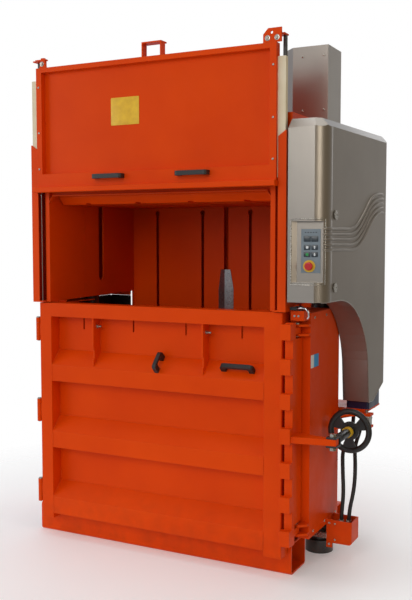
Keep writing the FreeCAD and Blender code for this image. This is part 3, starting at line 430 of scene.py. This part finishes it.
def circle_through(a, b, c):
    """Centre and radius of the circle through three plan points."""
    ax, ay = a
    bx, by = b
    cx, cy = c
    d = 2 * (ax * (by - cy) + bx * (cy - ay) + cx * (ay - by))
    ux = ((ax * ax + ay * ay) * (by - cy) + (bx * bx + by * by) * (cy - ay)
          + (cx * cx + cy * cy) * (ay - by)) / d
    uy = ((ax * ax + ay * ay) * (cx - bx) + (bx * bx + by * by) * (ax - cx)
          + (cx * cx + cy * cy) * (bx - ax)) / d
    return (ux, uy), math.hypot(ax - ux, ay - uy)


arc_a = (hood_low.x + 0.113, hood_low.y + 0.005)
arc_m = (hood_low.x + 0.143, hood_low.y + 0.036)
arc_b = (hood_low.x + 0.156, hood_low.y + 0.100)
side_c = (hood_high.x, hood_high.y - 0.040)
arc_centre, arc_radius = circle_through(arc_a, arc_m, arc_b)
slope = (side_c[0] - arc_b[0]) / (side_c[1] - arc_b[1])


def skin_point(y, z, lift=0.0):
    """Point on the hood's outer skin at a depth and level, and the way it faces."""
    if y >= arc_b[1]:
        way = Vector((1, -slope, 0)).normalized()
        spot = Vector((arc_b[0] + (y - arc_b[1]) * slope, y, z))
    else:
        dy = y - arc_centre[1]
        dx = math.sqrt(max(arc_radius ** 2 - dy * dy, 1e-9))
        spot = Vector((arc_centre[0] + dx, y, z))
        way = Vector((dx, dy, 0)).normalized()
    return spot + way * lift, way


def smooth_line(keys, count):
    """Even smooth samples through key values (depth, level)."""
    out = []
    last = len(keys) - 1
    for k in range(count + 1):
        t = k / count * last
        i = min(int(t), last - 1)
        f = t - i
        p = [keys[max(i - 1, 0)], keys[i], keys[i + 1], keys[min(i + 2, last)]]
        spot = []
        for c in (0, 1):
            a, b, d, e = (q[c] for q in p)
            spot.append(0.5 * (2 * b + (d - a) * f + (2 * a - 5 * b + 4 * d - e) * f * f
                               + (3 * b - 3 * d + e - a) * f ** 3))
        out.append(spot)
    return out


# five pressed beads running from the console to the back edge
bm = bmesh.new()
top_keys = [(-10, 1506), (60, 1506), (160, 1507), (262, 1509), (350, 1528), (442, 1584),
            (530, 1648), (612, 1671), (700, 1673)]
low_keys = [(-10, 1420), (60, 1420), (170, 1419), (285, 1418), (372, 1434), (458, 1482),
            (548, 1550), (622, 1582), (700, 1589)]
for k in range(5):
    t = k / 4
    keys = []
    for (ya, za), (yb, zb) in zip(top_keys, low_keys):
        keys.append(((ya + (yb - ya) * t) / 1000 + face_y, (za + (zb - za) * t) / 1000))
    line = []
    radii = []
    count = 110
    for i, (y, z) in enumerate(smooth_line(keys, count)):
        line.append(skin_point(y, z, 0.0006)[0])
        taper = min(1.0, 0.25 + i / 5, 0.25 + (count - i) / 4)
        radii.append(0.0066 * taper)
    swept(bm, line, radii, 14)
piece("hood_beads", bm, ["silver_paint"], "frame")

# ---- control panel ------------------------------------------------------------
run = Vector((110, 18, 0)).normalized()
out = Vector((run.y, -run.x, 0))
panel_left = at(703, -14, 0)


def on_panel(along, z, lift=0.0):
    """Point on the recessed panel: distance from its left edge and level."""
    return panel_left + run * along / 1000 + out * lift / 1000 + Vector((0, 0, z / 1000))


keypad_face = 1.8
mark_face = 3.5
window_row = 1465
upper_keys = 1430
lower_keys = 1401
left_keys = 43
right_keys = 74
bm = bmesh.new()
for z, width, height in ((window_row, 29, 24), (upper_keys, 27, 21), (lower_keys, 27, 21)):
    for along in (left_keys, right_keys):
        slab(bm, on_panel(along, z, keypad_face), run, up, width, height, 1.8, 3.0, 0.7)
lamp_row = 1491
for k in range(5):
    slab(bm, on_panel(36 + k * 11, lamp_row, keypad_face), run, up, 6.0, 4.0, 1.2, 1.0, 0.4)
piece("keypad_keys", bm, ["dark_film"], "frame")

bm = bmesh.new()
turned(bm, on_panel(left_keys, lower_keys, mark_face), out, [(6.0, 0), (6.4, 0.2), (6.0, 0.6)], 28)
piece("start_mark", bm, ["green_print"], "frame")
bm = bmesh.new()
turned(bm, on_panel(left_keys, upper_keys, mark_face), out, [(5.2, 0), (5.6, 0.2), (5.2, 0.6)], 28)
for z, flip in ((upper_keys, 1), (lower_keys, -1)):
    stem = on_panel(right_keys, z - flip * 2.5, mark_face)
    slab(bm, stem, run, up, 4, 7, 0.5, 0.4, 0.2)
    tip = on_panel(right_keys, z + flip * 7, mark_face)
    wing_a = on_panel(right_keys - 5, z + flip * 0.6, mark_face)
    wing_b = on_panel(right_keys + 5, z + flip * 0.6, mark_face)
    low = [bm.verts.new(c) for c in (wing_a, wing_b, tip)]
    high = [bm.verts.new(c + out * 0.0005) for c in (wing_a, wing_b, tip)]
    bridge(bm, low, high)
    cap(bm, low[::-1])
    cap(bm, high)
piece("direction_marks", bm, ["white_print"], "frame")

# raised rim folded round the recess
bm = bmesh.new()
rim_plan = [at(687, -40.4, 0), at(735, -38.3, 0), at(784, -36.0, 0)]
for y in (-29, -20, -10, 4):
    rim_plan.append(skin_point(y / 1000 + face_y, 0, 0.0008)[0])
rim_low = 1.277
rim_high = 1.546
rim = [p + up * rim_low for p in rim_plan] + [p + up * rim_high for p in rim_plan[::-1]]
rim.append(rim[0])
swept(bm, rim, [0.0024] * len(rim), 10)
piece("console_rim", bm, ["bright_steel"], "frame")

# ---- bolts and screws ---------------------------------------------------------
bm = bmesh.new()
gate_face = -30
for z in (2177, 1964, 1794):
    for x in (-600, 600):
        button_head(bm, at(x, gate_face, z), -along_y, 5.0, 3.0)
for x in (574, 616, -578):
    hex_head(bm, at(x, gate_face, 2285), -along_y, 13, 6)
piece("gate_bolts", bm, ["bright_steel"], "gate")

bm = bmesh.new()
tower_face = 360
for x in (-680, -580, 580, 680):
    for z in (2040, 2280):
        button_head(bm, at(x, tower_face, z), -along_y, 5.5, 3.2)
valve_face = 330
for z in (98, 172):
    button_head(bm, at(764, valve_face, z), -along_y, 5.0, 3.0)
right_face = 724
left_face = -708
for y, z in ((150, 190), (150, 1128), (300, 190), (300, 1128), (450, 190)):
    button_head(bm, at(right_face, y, z), across_x, 6.0, 3.4)
    button_head(bm, at(left_face, y, z), -across_x, 6.0, 3.4)
piece("frame_bolts", bm, ["bright_steel"], "frame")

# ---- interlock lever ------------------------------------------------------------
bm = bmesh.new()
lever = [at(690, 22, 1174), at(712, 14, 1178), at(734, 10, 1176), at(746, 12, 1162),
         at(746, 16, 1144), at(738, 20, 1134)]
swept(bm, lever, [0.0042, 0.0042, 0.0042, 0.0042, 0.0042, 0.0036], 14)
piece("interlock_lever", bm, ["chromed_steel"], "frame")

# ---- plain cards where the instruction cards sit --------------------------------
bm = bmesh.new()
slab(bm, at(-137, -0.2, 2042), across_x, up, 150, 124, 1.4, 3.0, 0.4)
piece("gate_card", bm, ["yellow_plastic"], "gate")
card_level = 940
for name, y, width, key in (("side_card", 172, 58, "blue_print"),
                            ("side_card_edge", 124, 36, "white_print")):
    bm = bmesh.new()
    slab(bm, at(right_face, y, card_level), along_y, up, width, 56, 1.2, 2.0, 0.4)
    piece(name, bm, [key], "frame")

# ---- rolled edge round the hood's arch ------------------------------------------
arch_top = 1204
arch_depth, arch_level = 150, arch_top - 370
edge_line = [(y, arch_top) for y in (-12, 10, 40, 80, 115, arch_depth)]
for k in range(1, 25):
    a = math.radians(90 - 3.3 * k)
    edge_line.append((arch_depth + 372 * math.cos(a), arch_level + 370 * math.sin(a)))
edge_line += [(526, 803), (537, 703), (597, 703), (732, 774)]
bm = bmesh.new()
path = [skin_point(y / 1000 + face_y, z / 1000, -0.0006)[0] for y, z in edge_line]
swept(bm, path, [0.0027] * len(path), 10)
piece("hood_arch_edge", bm, ["silver_paint"], "frame")

# ---- pump motor fins and fan cover -----------------------------------------------
motor_x, motor_y = 791, 652.5
fin_count = 30
fin_root = 0.0445
bm = bmesh.new()
for k in range(fin_count):
    a = 2 * math.pi * k / fin_count
    radial = Vector((math.cos(a), math.sin(a), 0))
    terminal_box_here = abs(radial.x) < 0.35 and radial.y < 0
    if terminal_box_here:
        continue
    tangent = Vector((-math.sin(a), math.cos(a), 0))
    foot = at(motor_x, motor_y, 1110) + radial * fin_root
    slab(bm, foot, tangent, up, 2.4, 150, 7.0, 0.8, 0.6)
piece("motor_fins", bm, ["black_paint"], "frame")
bm = bmesh.new()
cover_profile = [(47, 0), (48, 0.6), (48, 34), (45, 38), (40, 39), (39, 37.6), (33, 37.6),
                 (32, 39), (26, 39), (25, 37.6), (19, 37.6), (18, 39), (10, 39)]
turned(bm, at(motor_x, motor_y, 1186), up, cover_profile, 40)
piece("motor_fan_cover", bm, ["black_plastic"], "frame")

# ---- tank filler cap and level glass ----------------------------------------------
bm = bmesh.new()
cap_profile = [(14, 0), (14, 5), (17, 6), (17.6, 7), (17.6, 16), (16.5, 18), (9, 18.6)]
turned(bm, at(822, 722, 1009), up, cap_profile, 24)
piece("filler_cap", bm, ["black_plastic"], "frame")
bm = bmesh.new()
tank_rear = 745
glass_depth = 6
slab(bm, at(motor_x, tank_rear, 900), -across_x, up, 26, 110, glass_depth, 12, 2.0)
for z in (855, 945):
    button_head(bm, at(motor_x, tank_rear + glass_depth, z), along_y, 6.0, 3.0)
piece("level_glass", bm, ["bright_steel"], "frame")

# ---- side guards behind the left wall -------------------------------------------
guard_face = -710
guard_front, guard_rear = 147, 743
return_middle, return_width = -646, 131
for name, low, high, key in (("left_guard", 1150, 1905, "orange_paint"),
                             ("left_guard_foot", 1004, 1149, "black_paint")):
    middle = (low + high) / 2
    height = high - low
    bm = bmesh.new()
    slab(bm, at(guard_face, 445, middle), -along_y, up, 600, height, 3.0, 12, 0.8)
    slab(bm, at(return_middle, guard_rear, middle), -across_x, up, return_width, height,
         3.0, 6, 0.8)
    if name == "left_guard":
        slab(bm, at(return_middle, guard_front, middle), across_x, up, return_width, height,
             3.0, 6, 0.8)
    for y in (170, 720):
        for z in (low + 28, high - 28):
            button_head(bm, at(guard_face - 3, y, z), -across_x, 7.0, 4.0)
    piece(name, bm, [key], "frame")

# ---- welds --------------------------------------------------------------------
in_left, in_right = -567, 552
skin_front = 66
shelf_rise = 70
bm = bmesh.new()
for z_edge, face in ((855, 78), (530, 80), (205, 84)):
    back = z_edge + shelf_rise
    for k in range(6):
        x = in_left + 60 + k * (in_right - in_left - 120) / 5
        stitch_y = skin_front - 1.2
        weld(bm, at(x - 26, stitch_y, back), at(x + 26, stitch_y, back), 2.3)
    for x in (in_left + 1.5, in_right - 1.5):
        weld(bm, at(x, 1, z_edge + 1.0), at(x, 62, back - 3), 2.6)
        weld(bm, at(x, 65, back + 6), at(x, 65, back + 46), 2.2)
        weld(bm, at(x, -0.4, z_edge - face + 3), at(x, -0.4, z_edge - 3), 1.8)
for x in (-329, 253):
    for side in (-4.5, 4.5):
        for low, high in ((950, 1000), (1040, 1078)):
            weld(bm, at(x + side, 64.5, low), at(x + side, 64.5, high), 2.2)
piece("door_welds", bm, ["orange_paint"], "bale_door")


# ---- floor and light --------------------------------------------------------
bm = bmesh.new()
ring = ring_of(bm, Vector((0, 0, -0.0005)), Vector((1, 0, 0)), Vector((0, 1, 0)), 60.0, 64)
cap(bm, ring)
floor_mesh = bpy.data.meshes.new("floor")
bm.to_mesh(floor_mesh)
bm.free()
floor = bpy.data.objects.new("floor", floor_mesh)
bpy.context.scene.collection.objects.link(floor)
n = Nodes("floor_paint")
n.put("Base Color", n.mix(n.ramp(n.noise(0.8, 4.0), 0.3, 0.7, 0.0, 1.0),
                          (0.86, 0.86, 0.86, 1), (0.90, 0.90, 0.89, 1)))
n.put("Roughness", 0.7)
reach = n.add("ShaderNodeVectorMath", {0: n.place}, operation="LENGTH").outputs["Value"]
n.put("Alpha", n.ramp(reach, 0.9, 2.3, 1.0, 0.0))
n.put("Emission Color", (1.0, 1.0, 1.0, 1))
n.put("Emission Strength", 0.16)
floor_mesh.materials.append(n.material)


def area_light(name, spot, target, size, power, colour=(1, 1, 1)):
    """Soft rectangular lamp aimed at a point."""
    data = bpy.data.lights.new(name, "AREA")
    data.shape = "RECTANGLE"
    data.size, data.size_y = size
    data.energy = power
    data.color = colour
    lamp = bpy.data.objects.new(name, data)
    lamp.location = spot
    way = Vector(target) - Vector(spot)
    lamp.rotation_mode = "QUATERNION"
    lamp.rotation_quaternion = way.to_track_quat("-Z", "Y")
    bpy.context.scene.collection.objects.link(lamp)


area_light("key", (0.4, -6.0, 3.4), (0, 0, 1.1), (2.6, 2.6), 80, (1, 0.98, 0.95))
area_light("fill", (-4.5, -3.2, 2.4), (0, 0, 1.1), (3.0, 3.0), 55, (1, 0.98, 0.96))
area_light("right", (5.0, -1.6, 2.6), (0.6, 0, 1.2), (1.2, 3.0), 40, (1, 0.93, 0.82))
area_light("top", (0, 0.5, 5.5), (0, 0, 0), (4.0, 4.0), 75)
area_light("back", (0, 6.0, 2.5), (0, 0, 1.2), (4.0, 3.0), 40)

world = bpy.data.worlds.new("studio")
bpy.context.scene.world = world
world.use_nodes = True
tree = world.node_tree
back = tree.nodes["Background"]
way = tree.nodes.new("ShaderNodeTexCoord")
parts = tree.nodes.new("ShaderNodeSeparateXYZ")
tree.links.new(way.outputs["Generated"], parts.inputs[0])
across = tree.nodes.new("ShaderNodeMapRange")
tree.links.new(parts.outputs[0], across.inputs[0])
across.inputs[1].default_value = -0.2
across.inputs[2].default_value = 0.9
room = tree.nodes.new("ShaderNodeMix")
room.data_type = "RGBA"
tree.links.new(across.outputs[0], room.inputs[0])
room.inputs[6].default_value = (0.52, 0.55, 0.60, 1)
room.inputs[7].default_value = (0.19, 0.145, 0.085, 1)
seen = tree.nodes.new("ShaderNodeLightPath")
shown = tree.nodes.new("ShaderNodeMix")
shown.data_type = "RGBA"
tree.links.new(seen.outputs["Is Camera Ray"], shown.inputs[0])
tree.links.new(room.outputs[2], shown.inputs[6])
shown.inputs[7].default_value = (1.0, 1.0, 1.0, 1)
tree.links.new(shown.outputs[2], back.inputs[0])
back.inputs[1].default_value = 1.0

settings = bpy.context.scene.view_settings
settings.view_transform = "Standard"
settings.look = "None"
settings.exposure = 0.0
